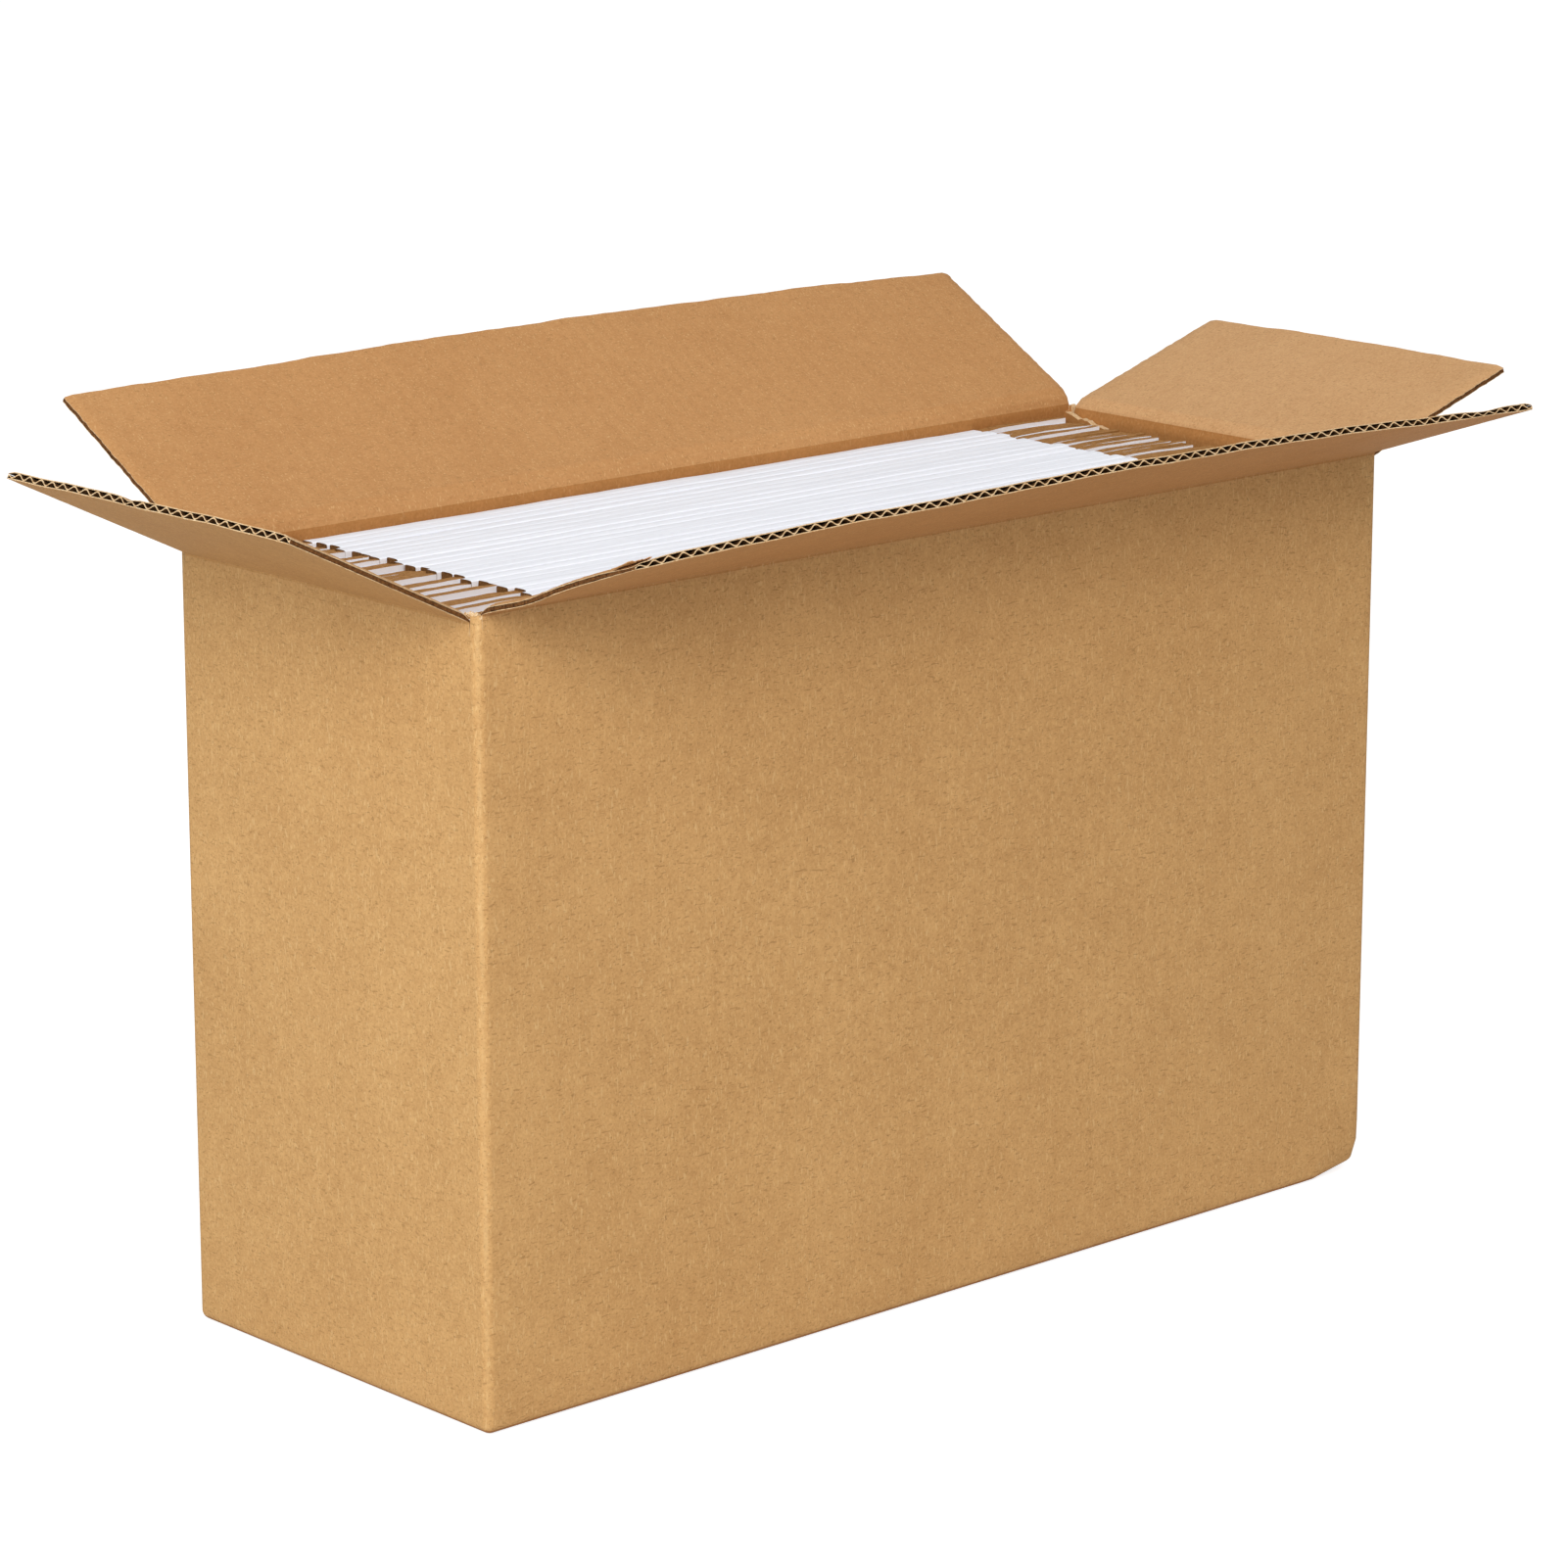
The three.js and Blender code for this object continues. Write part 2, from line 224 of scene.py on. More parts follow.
def sheet_between(first, second):
    """A closed thin board between two grids of points, joined round their four edges. Face kinds: 0 for the
    first grid's side, 1 for the second's, 2 for the cut edges."""
    rows, columns = first.shape[:2]
    count = rows * columns
    face = grid_faces(rows, columns)
    index = np.arange(count).reshape(rows, columns)
    rim = np.concatenate([index[0, :-1], index[:-1, -1], index[-1, :0:-1], index[:0:-1, 0]])
    after = np.roll(rim, -1)
    edge = np.stack([rim, after, after + count, rim + count], -1)
    kinds = np.concatenate([np.zeros(len(face), int), np.ones(len(face), int), np.full(len(edge), 2)])
    return (np.concatenate([first.reshape(-1, 3), second.reshape(-1, 3)]),
            np.concatenate([face[:, ::-1], face + count, edge]), kinds)


def thin_sheet(middle, thickness, normal=None):
    """A closed thin board around a grid of points: the grid moved half a thickness along its normal, which is
    the cross product of its two grid directions, to either side."""
    if normal is None:
        normal = np.cross(np.gradient(middle, axis=0), np.gradient(middle, axis=1))
        normal /= np.linalg.norm(normal, axis=-1, keepdims=True)
    return sheet_between(middle + normal * thickness / 2, middle - normal * thickness / 2)


def outwards(points, faces):
    """The faces turned round if the closed shell's volume, a sum of triple products, comes out negative."""
    a, b, c, d = (points[faces[:, k]] for k in range(4))
    volume = np.einsum("ij,ij->i", a, np.cross(b, c) + np.cross(c, d)).sum()
    return faces if volume > 0 else faces[:, ::-1]


def make_piece(name, shells, materials, wear=None):
    """One object from closed shells of (points in mm, faces, face kinds), with a material for each kind."""
    points, faces, kinds, start = [], [], [], 0
    for shell_points, shell_faces, shell_kinds in shells:
        points.append(shell_points)
        faces.append(outwards(shell_points, shell_faces) + start)
        kinds.append(shell_kinds)
        start += len(shell_points)
    points, faces, kinds = np.concatenate(points), np.concatenate(faces), np.concatenate(kinds)
    mesh = bpy.data.meshes.new(name)
    mesh.vertices.add(len(points))
    mesh.vertices.foreach_set("co", (points * MM).astype(np.float32).ravel())
    mesh.loops.add(len(faces) * 4)
    mesh.loops.foreach_set("vertex_index", faces.astype(np.int32).ravel())
    mesh.polygons.add(len(faces))
    mesh.polygons.foreach_set("loop_start", np.arange(0, len(faces) * 4, 4, dtype=np.int32))
    mesh.polygons.foreach_set("material_index", kinds.astype(np.int32))
    for material in materials:
        mesh.materials.append(material)
    if wear is not None:
        layer = mesh.attributes.new("wear", "FLOAT", "POINT")
        layer.data.foreach_set("value", wear.astype(np.float32).ravel())
    mesh.update(calc_edges=True)
    mesh.polygons.foreach_set("use_smooth", np.ones(len(faces), bool))
    mesh.set_sharp_from_angle(angle=math.radians(40))
    made = bpy.data.objects.new(name, mesh)
    bpy.context.scene.collection.objects.link(made)
    return made


def kraft_liner(name, light, deep, bands, relief=0.00004, flecks=1.0):
    """Unbleached kraft paper on a fluted medium: mottled brown with dark and pale fibres, a dull surface,
    and the faint washboard of the flutes, whose bands run across the named axes."""
    material, tree, output = new_material(name)
    place = add(tree, "ShaderNodeTexCoord").outputs["Object"]
    # Clouds of pulp are about 45 mm across, its clots 5 mm, and the fibre ends 1 mm, drawn coarser than real
    cloud = add(tree, "ShaderNodeTexNoise", {"Scale": 22.0, "Detail": 2.0}, Vector=place)
    mottle = add(tree, "ShaderNodeTexNoise", {"Scale": 190.0, "Detail": 2.0}, Vector=place)
    speck = add(tree, "ShaderNodeTexNoise", {"Scale": 900.0, "Detail": 2.0, "Roughness": 0.6}, Vector=place)
    blend = add(tree, "ShaderNodeMath", {"operation": "MULTIPLY_ADD", 1: 0.2, 2: 0.0},
                _0=cloud.outputs["Fac"])
    blend = add(tree, "ShaderNodeMath", {"operation": "MULTIPLY_ADD", 1: 0.25}, _0=mottle.outputs["Fac"],
                _2=blend.outputs[0])
    blend = add(tree, "ShaderNodeMath", {"operation": "MULTIPLY_ADD", 1: 0.55}, _0=speck.outputs["Fac"],
                _2=blend.outputs[0])
    base = add(tree, "ShaderNodeValToRGB", None, Fac=blend.outputs[0])
    base.color_ramp.elements[0].position, base.color_ramp.elements[1].position = 0.32, 0.68
    base.color_ramp.elements[0].color, base.color_ramp.elements[1].color = linear(deep), linear(light)
    colour = base.outputs["Color"]
    # Fibres are 2 to 4 mm long and a tenth of that wide; they are drawn thicker so that they show
    for turn, stretch, low_edge, tone, share in (
        ((0.3, 0.5, 0.9), (1500, 380, 1500), 0.71, "#96703f", 0.32 * flecks),
        ((1.1, 0.2, -0.6), (1400, 1400, 360), 0.69, "#dcb983", 0.35 * flecks),
        ((0.0, 0.9, 0.4), (400, 1500, 1500), 0.71, "#8f683a", 0.32 * flecks),
        ((0.4, 0.0, 1.4), (900, 900, 900), 0.75, "#6b4723", 0.22 * flecks),
    ):
        turned = add(tree, "ShaderNodeMapping", {"Rotation": turn, "Scale": stretch}, Vector=place)
        fleck = add(tree, "ShaderNodeTexNoise", {"Scale": 1.0, "Detail": 0.0}, Vector=turned.outputs[0])
        mask = add(tree, "ShaderNodeMapRange",
                   {"From Min": low_edge, "From Max": low_edge + 0.05, "To Max": share},
                   Value=fleck.outputs["Fac"])
        mix = add(tree, "ShaderNodeMix", {"data_type": "RGBA"})
        tree.links.new(mask.outputs[0], mix.inputs["Factor"])
        tree.links.new(colour, mix.inputs[6])
        mix.inputs[7].default_value = linear(tone)
        colour = mix.outputs[2]
    # Where the fold is rubbed, the paper is paler in patches of about 8 mm
    rubbed = add(tree, "ShaderNodeAttribute", {"attribute_name": "wear"})
    patchy = add(tree, "ShaderNodeTexNoise", {"Scale": 120.0, "Detail": 4.0}, Vector=place)
    patch = add(tree, "ShaderNodeMapRange", {"From Min": 0.3, "From Max": 0.62},
                Value=patchy.outputs["Fac"])
    rub = add(tree, "ShaderNodeMath", {"operation": "MULTIPLY"}, _0=rubbed.outputs["Fac"],
              _1=patch.outputs[0])
    mix = add(tree, "ShaderNodeMix", {"data_type": "RGBA"})
    tree.links.new(rub.outputs[0], mix.inputs["Factor"])
    tree.links.new(colour, mix.inputs[6])
    mix.inputs[7].default_value = linear("#e3c793")
    grain = add(tree, "ShaderNodeBump", {"Strength": 0.3, "Distance": 0.0001}, Height=speck.outputs["Fac"])
    normal = grain.outputs[0]
    # One band of the wave is one flute
    for axis in bands:
        wave = add(tree, "ShaderNodeTexWave",
                   {"bands_direction": axis, "wave_profile": "SIN", "Distortion": 0.6,
                    "Scale": 2 * math.pi / (20 * FLUTE_PITCH * MM)}, Vector=place)
        washboard = add(tree, "ShaderNodeBump", {"Strength": 1.0, "Distance": relief},
                        Height=wave.outputs["Fac"], Normal=normal)
        normal = washboard.outputs[0]
    shader = add(tree, "ShaderNodeBsdfPrincipled", {"Roughness": 0.82, "Specular IOR Level": 0.25},
                 Base_Color=mix.outputs[2], Normal=normal)
    tree.links.new(shader.outputs[0], output.inputs["Surface"])
    return material


def raw_paper(name, tone, deep, scale=900.0):
    """Cut or torn paper: the fibres stand open, so it is dull, uneven and without any sheen."""
    material, tree, output = new_material(name)
    place = add(tree, "ShaderNodeTexCoord").outputs["Object"]
    fibre = add(tree, "ShaderNodeTexNoise", {"Scale": scale, "Detail": 4.0, "Roughness": 0.7}, Vector=place)
    base = add(tree, "ShaderNodeValToRGB", None, Fac=fibre.outputs["Fac"])
    base.color_ramp.elements[0].position, base.color_ramp.elements[1].position = 0.35, 0.65
    base.color_ramp.elements[0].color, base.color_ramp.elements[1].color = linear(deep), linear(tone)
    rough = add(tree, "ShaderNodeBump", {"Strength": 0.6, "Distance": 0.0002}, Height=fibre.outputs["Fac"])
    shader = add(tree, "ShaderNodeBsdfPrincipled", {"Roughness": 0.95, "Specular IOR Level": 0.1},
                 Base_Color=base.outputs["Color"], Normal=rough.outputs[0])
    tree.links.new(shader.outputs[0], output.inputs["Surface"])
    return material


# The outside liner is golden brown and flecked, the inside one plainer and painted deeper, partly its own
# tone and partly the shade inside the box, and a cut or torn edge shows pale fibres
wall_paper = kraft_liner("kraft_liner_walls", "#d4a970", "#b98d58", ("X", "Y"), flecks=1.4)
inner_paper_painted_shade = kraft_liner("kraft_liner_inside", "#b27c46", "#9c6a37", (), flecks=0.3)
cut_paper = raw_paper("kraft_cut_edge", "#e6cda6", "#c49c6c")

# Stations round the box: each upright fold is a quarter circle, each panel a straight run
fold_angles = np.linspace(0, math.pi / 2, 17)
long_run = np.linspace(-1, 1, 61)[1:-1] * (HALF_LENGTH - FOLD_RADIUS)
short_run = np.linspace(-SHORT_STRIP_SHARE, SHORT_STRIP_SHARE, 23) * (HALF_WIDTH - FOLD_RADIUS)
outer, inner, facing = [], [], []
for corner, (sx, sy) in enumerate(((1, 1), (-1, 1), (-1, -1), (1, -1))):
    centre = np.array([sx * (HALF_LENGTH - FOLD_RADIUS), sy * (HALF_WIDTH - FOLD_RADIUS)])
    angle = fold_angles + corner * math.pi / 2
    direction = np.stack([np.cos(angle), np.sin(angle)], -1)
    if corner % 2 == 0:
        side = np.array([0.0, sy])
        line = np.stack([-sy * long_run, np.full_like(long_run, sy * HALF_WIDTH)], -1)
    else:
        side = np.array([sx, 0.0])
        line = np.stack([np.full_like(short_run, sx * HALF_LENGTH), sx * short_run], -1)
    outer += [centre + FOLD_RADIUS * direction, line]
    inner += [centre + (FOLD_RADIUS - BOARD) * direction, line - BOARD * side]
    facing += [direction, np.repeat(side[None, :], len(line), 0)]
outer, inner, facing = np.concatenate(outer), np.concatenate(inner), np.concatenate(facing)

# The wall's top at each station: under a long flap, under a short one, or the torn top of a fold
on_long = np.abs(facing[:, 1]) > math.cos(math.radians(LONG_STRIP_TURN))
on_short = (np.abs(facing[:, 0]) > 0.999) & (np.abs(outer[:, 1]) < HALF_WIDTH - FOLD_RADIUS - 0.1)
column_top = FULL_HEIGHT - COLUMN_DROP + COLUMN_TEAR * ripple(outer[:, 0] + 2 * outer[:, 1], 4, first=1.1)
column_top = column_top - GLUED_COLUMN_DROP * (outer[:, 0] > 0) * (outer[:, 1] > 0)
top = np.where(on_long, long_top, np.where(on_short, short_top, column_top))

# The wall's section as inset from the outside and height: up the outside, over the top, down the inside.
# Each row's height is its fixed start, its rise in the rounded foot, and a share of the span up to the top.
bend = np.linspace(0, math.pi / 2, 7)
rise = np.linspace(0, 1, 34)[1:]
INSIDE_ROWS = 16
FOOT_CLEAR = 0.4
section_inset = np.concatenate([[FOLD_RADIUS + UNDERTURN], FOLD_RADIUS - FOLD_RADIUS * np.sin(bend),
                                np.zeros(len(rise)), np.full(INSIDE_ROWS, BOARD),
                                [BOARD + FOOT_CLEAR, FOLD_RADIUS + UNDERTURN]])
section_foot = np.concatenate([[0], FOLD_RADIUS - FOLD_RADIUS * np.cos(bend), np.zeros(len(rise)),
                               np.zeros(INSIDE_ROWS), [BOARD, BOARD]])
section_rise = np.concatenate([[0], np.zeros(len(bend)), rise, np.linspace(1, 0, INSIDE_ROWS), [0, 0]])
section_start = np.concatenate([[0], np.zeros(len(bend)), np.full(len(rise), FOLD_RADIUS),
                                np.full(INSIDE_ROWS, BOARD + FOOT_CLEAR), [0, 0]])
span = top[None, :] - section_start[:, None]
height = section_start[:, None] + section_foot[:, None] + section_rise[:, None] * span

# At the glued corner the right panel's raw edge stops short of the fold and leaves a narrow groove
turn_angle = np.degrees(np.arctan2(facing[:, 1], facing[:, 0]))
groove = GROOVE_DEPTH * np.exp(-((turn_angle - GROOVE_AT) / GROOVE_WIDTH) ** 2)
groove = groove * (outer[:, 0] > 0) * (outer[:, 1] > HALF_WIDTH - FOLD_RADIUS)
depth_in = np.maximum(section_inset[:, None], groove[None, :])
plan = outer[None] + (inner - outer)[None] * (depth_in / BOARD)[..., None]

# Each panel bulges as a half sine up its height and along its run
on_run = np.where(np.abs(facing[:, 1]) > np.abs(facing[:, 0]), outer[:, 0] / HALF_LENGTH,
                  outer[:, 1] / HALF_WIDTH)
swell = BULGE * np.sin(math.pi * np.clip(height / FULL_HEIGHT, 0, 1))
swell = swell * np.cos(0.5 * math.pi * on_run)[None, :]
plan = plan + facing[None] * swell[..., None]

# The lower corner at the far end of the front is knocked in, most at its tip
dent = np.clip(1 - np.hypot(HALF_LENGTH - outer[:, 0], HALF_WIDTH + outer[:, 1]) / DENT_REACH, 0, 1)[None, :]
dent = dent * np.clip(1 - height / DENT_HEIGHT, 0, 1) ** 2
plan = plan - np.array(DENT_PUSH) * dent[..., None]
ring = np.concatenate([plan, (height + DENT_LIFT * dent)[..., None]], -1)

# The outside paper is rubbed in the middle of each fold
rows, stations = ring.shape[:2]
near_fold = np.minimum(np.abs(facing[:, 0]), np.abs(facing[:, 1]))
wear = np.repeat(smooth((near_fold - RUB_FROM) / RUB_RISE)[None, :], rows, 0)
wear *= np.where(section_inset < 0.5, 1, 0)[:, None] * (RUB + RUB_SPREAD * ripple(height / RUB_LENGTH, 8))
# Rows inside the wall and under its foot take the inside liner, painted deeper partly as shade inside the box
ring_kinds = np.where(np.repeat(section_inset > 1, stations), 1, 0)
top_row = len(bend) + len(rise)
ring_kinds[top_row * stations:(top_row + 1) * stations] = 2
shells = [(ring.reshape(-1, 3), grid_faces(rows, stations, True, True), ring_kinds)]
wear = [wear.reshape(-1)]

# Torn fibres stand up from the outside paper at the top of the nearest fold, each a tapered strip that
# droops by the square of its length
draw = np.random.default_rng(7)
for i in range(STRANDS):
    root = np.array([-HALF_LENGTH + 0.4 + 9 * (i % 2) * draw.random(),
                     -HALF_WIDTH + 0.3 + 7 * (1 - i % 2) * draw.random(),
                     STRAND_ROOT + 1.2 * draw.random()])
    lean = np.array([draw.random() - 0.2, draw.random() - 0.4, 0.5 + 0.5 * draw.random()])
    reach = (1.0 + 1.4 * draw.random()) * np.linspace(0, 1, 4)[:, None, None]
    width = 0.5 * (1 - 0.6 * reach / reach.max()) * np.linspace(-1, 1, 2)[None, :, None]
    strand = root + lean * reach + width * np.array([0.7, -0.7, 0.1])
    strand[..., 2] -= 0.16 * reach[..., 0] ** 2
    points, faces, kinds = sheet_between(strand, strand + np.array([0.1, 0.1, 0.05]))
    shells.append((points, faces, np.full_like(kinds, 2)))
    wear.append(np.zeros(len(points)))
walls = make_piece("carton_walls", shells, [wall_paper, inner_paper_painted_shade, cut_paper], np.concatenate(wear))
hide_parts("carton_body")
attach(walls, "carton")

# Floor and lap. The four bottom flaps are folded in, the short ones on the long ones, and glued. The lap is
# a tapered strip of the back panel, turned in and glued to the right panel.
SEAM_OFFSET = 1.2
SEAM_GAP = 1.0
SHORT_FLAP_REACH = 81.5
# The boards stop this far inside the walls' rounded foot, and the glue parts them by this much
FLOOR_CLEAR = 1.8
GLUE_GAP = 0.02
FLOOR_CELLS = (72, 16)
# The lap's width, its taper at both ends, and how far it stands above the wall piece's top
LAP_WIDTH = 22.0
LAP_TAPER = 4.0
LAP_RISE = 2.5


def flat_board(corners, thickness):
    """A flat board between four corners of its middle face, as a fine grid: two shares, along and across,
    blend the corners in pairs."""
    u = np.linspace(0, 1, FLOOR_CELLS[0] + 1)[None, :, None]
    v = np.linspace(0, 1, FLOOR_CELLS[1] + 1)[:, None, None]
    a, b, c, d = (np.array(corner, float) for corner in corners)
    return thin_sheet((a * (1 - u) + b * u) * (1 - v) + (d * (1 - u) + c * u) * v, thickness)


def knocked_in(shell):
    """A shell moved in and up at the dented corner: by the share of the way to the corner, times the square
    of the share of the way down."""
    points, faces, kinds = shell
    share = np.clip(1 - np.hypot(HALF_LENGTH - points[:, 0], HALF_WIDTH + points[:, 1]) / DENT_REACH, 0, 1)
    share = share * np.clip(1 - points[:, 2] / DENT_HEIGHT, 0, 1) ** 2
    return points + share[:, None] * np.array([-DENT_PUSH[0], -DENT_PUSH[1], DENT_LIFT]), faces, kinds


def level_corners(x0, x1, y0, y1, z):
    """The four corners of a level rectangle, in turn."""
    return (x0, y0, z), (x1, y0, z), (x1, y1, z), (x0, y1, z)


reach_x = HALF_LENGTH - FOLD_RADIUS - FLOOR_CLEAR
reach_y = HALF_WIDTH - FOLD_RADIUS - FLOOR_CLEAR
floor_shells = []
for y0, y1 in ((-reach_y, SEAM_OFFSET - SEAM_GAP / 2), (SEAM_OFFSET + SEAM_GAP / 2, reach_y)):
    floor_shells.append(flat_board(level_corners(-reach_x, reach_x, y0, y1, BOARD / 2), BOARD))
for side in (-1, 1):
    corners = level_corners(side * (HALF_LENGTH - SHORT_FLAP_REACH), side * reach_x, -reach_y, reach_y,
                            1.5 * BOARD + GLUE_GAP)
    floor_shells.append(flat_board(corners, BOARD - 2 * GLUE_GAP))
floor_flaps = make_piece("bottom_flaps", [knocked_in(shell) for shell in floor_shells],
                         [wall_paper, wall_paper, cut_paper])
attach(floor_flaps, "carton")

# The lap's grid runs from the back wall along the right panel, and up; its free side is cut a little wavy
u = np.linspace(0, 1, 13)[None, :]
v = np.linspace(0, 1, 41)[:, None]
lap_top = short_top + LAP_RISE - LAP_TAPER * u + 0.7 * ripple(u * 22, 12, first=0.7)
lap_bottom = 2 * BOARD + LAP_TAPER * u
lap_z = lap_bottom + (lap_top - lap_bottom) * v
lap_y = HALF_WIDTH - BOARD - LAP_WIDTH * u + 0.3 * ripple(lap_z, 5, first=0.2) * u
lap_x = HALF_LENGTH - 1.5 * BOARD - 0.25 * u ** 2 + 0 * lap_z
lap_shell = thin_sheet(np.stack([lap_x, lap_y, lap_z], -1), BOARD - 0.1)
lap = make_piece("glued_lap", [lap_shell], [inner_paper_painted_shade, inner_paper_painted_shade, cut_paper])
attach(lap, "carton")

# Lid flaps. Each is a board of two liners on a wavy medium, which shows at the cut edge. It runs unbroken
# through its crease, where the board is pressed thin, into the top of the wall.
LINER = 0.35
LINER_SCRAP = 0.3
MEDIUM = 0.5
TIP_REACH = 81.0
# The crease: its line's depth in the board, the share pressed flat and over what width, half the bend's
# length, and the ridge that rises beside it on the inside
CREASE_DEPTH = 0.5
CRUSH, CRUSH_WIDTH = 0.42, 2.4
BEND = 0.9
RIDGE, RIDGE_AT, RIDGE_WIDTH = 0.12, 4.2, 1.1
# The flap's side edges are pressed by the knife
SIDE_PRESS = 0.3
# Below the crease the board has the walls' colours: the outside from here down, the inside by the flap's kind
OUTSIDE_STRIP = -0.8
INSIDE_STRIP = {"long": -2.4, "short": -0.8}
# Knife-cut side edges and the flutes' hollows are painted dark, as the shade in the open flutes; the flaps'
# liners are a little paler or deeper than the walls' and than each other, painted light and shade for how
# each flap faces the lamps
# Painted shade: the side edges are dark like an open flute channel
side_paper_painted_shade = raw_paper("kraft_side_edge", "#7d522c", "#452a17")
# Painted shade of the flute channels: this dark brown covers the medium and the liners' faces inside the
# board
medium_paper_painted_shade = raw_paper("kraft_medium", "#6a4828", "#402a16", 500.0)
# Painted light and shade: the long and short flaps' liners are tinted by how they face the lamps, the
# down-facing outsides deeper
flap_outside_painted_shade = {"long": kraft_liner("kraft_liner_flap_outside_long", "#c4905a", "#ae7c48", ("X",)),
                "short": kraft_liner("kraft_liner_flap_outside_short", "#c99b62", "#b4854f", ("Y",))}
flap_inside_painted_light_shade = {"long": kraft_liner("kraft_liner_flap_inside_long", "#c4935f", "#b2804e", ("X",), 0.00006),
               "short": kraft_liner("kraft_liner_flap_inside_short", "#cfa474", "#bd8f60", ("Y",), 0.00006)}


def flap_section(u, rise_angle):
    """The fold line's path in the flap's section, as outward and upward distance, with its outward normal:
    straight up the wall, a smooth bend, and straight along the flap, whose line runs through the hinge. The
    path is the running sum of the sine and cosine of its turn."""
    turn = math.pi / 2 - rise_angle
    fine = np.linspace(-CREASE_BELOW, TIP_REACH + 2, 4001)
    theta = turn * smooth((fine + BEND) / (2 * BEND))
    step = fine[1] - fine[0]
    p = np.concatenate([[0], np.cumsum((np.sin(theta[1:]) + np.sin(theta[:-1])) / 2 * step)])
    q = np.concatenate([[0], np.cumsum((np.cos(theta[1:]) + np.cos(theta[:-1])) / 2 * step)])
    q -= q[-1] - p[-1] * math.tan(rise_angle)
    angle = turn * smooth((u + BEND) / (2 * BEND))
    return np.interp(u, fine, p), np.interp(u, fine, q), np.cos(angle), -np.sin(angle)


